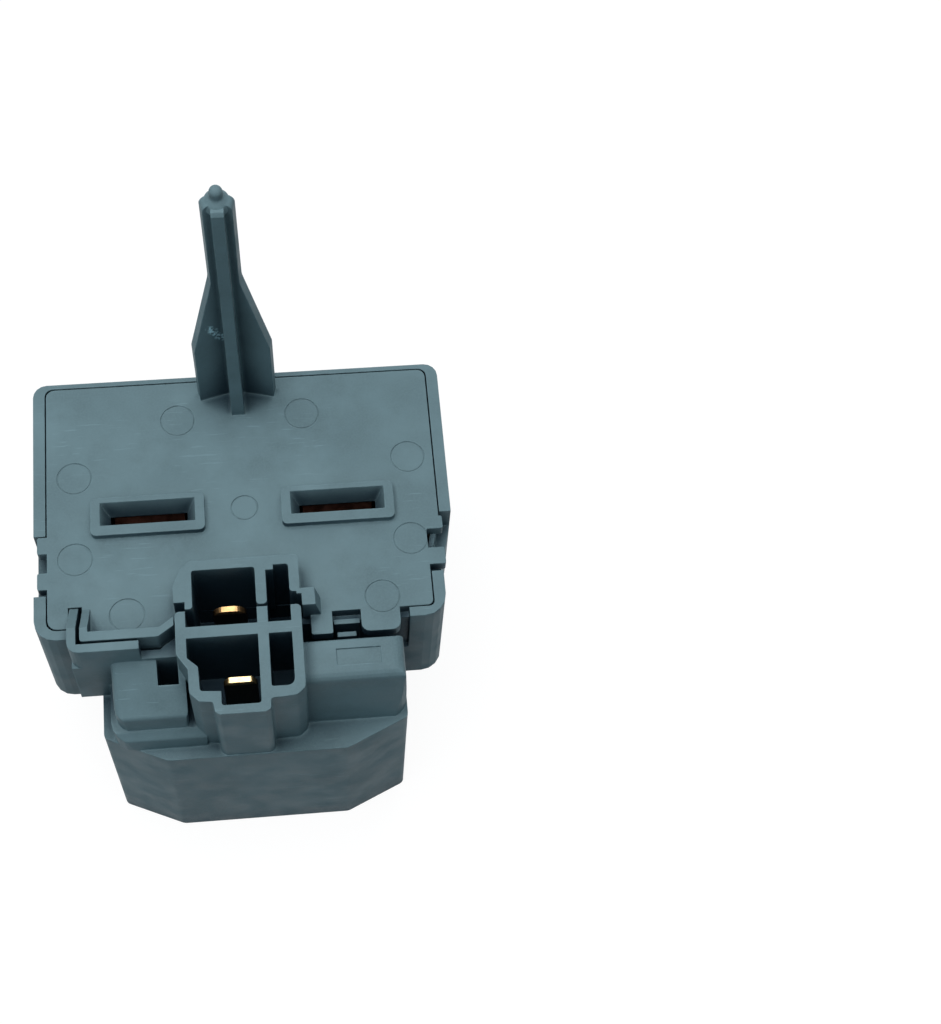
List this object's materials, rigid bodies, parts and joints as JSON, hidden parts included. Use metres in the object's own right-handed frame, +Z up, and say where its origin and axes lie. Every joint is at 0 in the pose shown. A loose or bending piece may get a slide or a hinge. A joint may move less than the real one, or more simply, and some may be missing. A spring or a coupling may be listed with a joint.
{
  "type": "compressor start relay",
  "caption": "Plug-on compressor start relay with an overload protector, capacitor blade slots, a two-way harness shroud, an open skirt and a tall finned clip post.",
  "frame": {"origin": "centre of the bounding box's bottom face, on the skirt's open rim, as it lies in the picture", "axes": "+X to the right across the cover, +Y from the harness shroud towards the post, +Z up, out of the cover's face"},
  "size_m": [0.0604, 0.0554, 0.0968],
  "materials": {
    "plastic": "moulded glass-filled polyamide, grey, satin with light scuffs",
    "copper": "copper alloy sheet, warm reddish, satin",
    "gilt": "brass sheet, satin",
    "tinned": "stainless spring sheet, satin",
    "ceramic": "dark barium titanate ceramic with silvered faces",
    "phenolic": "dark phenolic moulding",
    "mica": "pressed mica sheet",
    "zinc_steel": "zinc-plated pressed steel",
    "silver": "silver contact rivets"
  },
  "bodies": {
    "root": {"rear_housing": "plastic", "front_cover": "plastic", "capacitor_contact_start": "copper", "capacitor_contact_run": "copper", "harness_blade_neutral": "gilt", "harness_blade_line": "gilt", "ptc_disc": "ceramic", "ptc_spring_start": "tinned", "ptc_spring_run": "tinned", "start_socket": "gilt", "run_socket": "gilt", "common_socket": "gilt", "start_strap": "gilt", "run_strap": "gilt", "common_strap": "gilt", "insulator_sheet": "mica", "protector_terminal_line": "gilt", "protector_terminal_common": "gilt", "protector_base": "phenolic", "fixed_contacts": "silver", "heater": "tinned", "bimetal_disc": "tinned", "moving_contacts": "silver", "calibration_screw": "gilt", "protector_lid": "zinc_steel"}
  },
  "joints": []
}
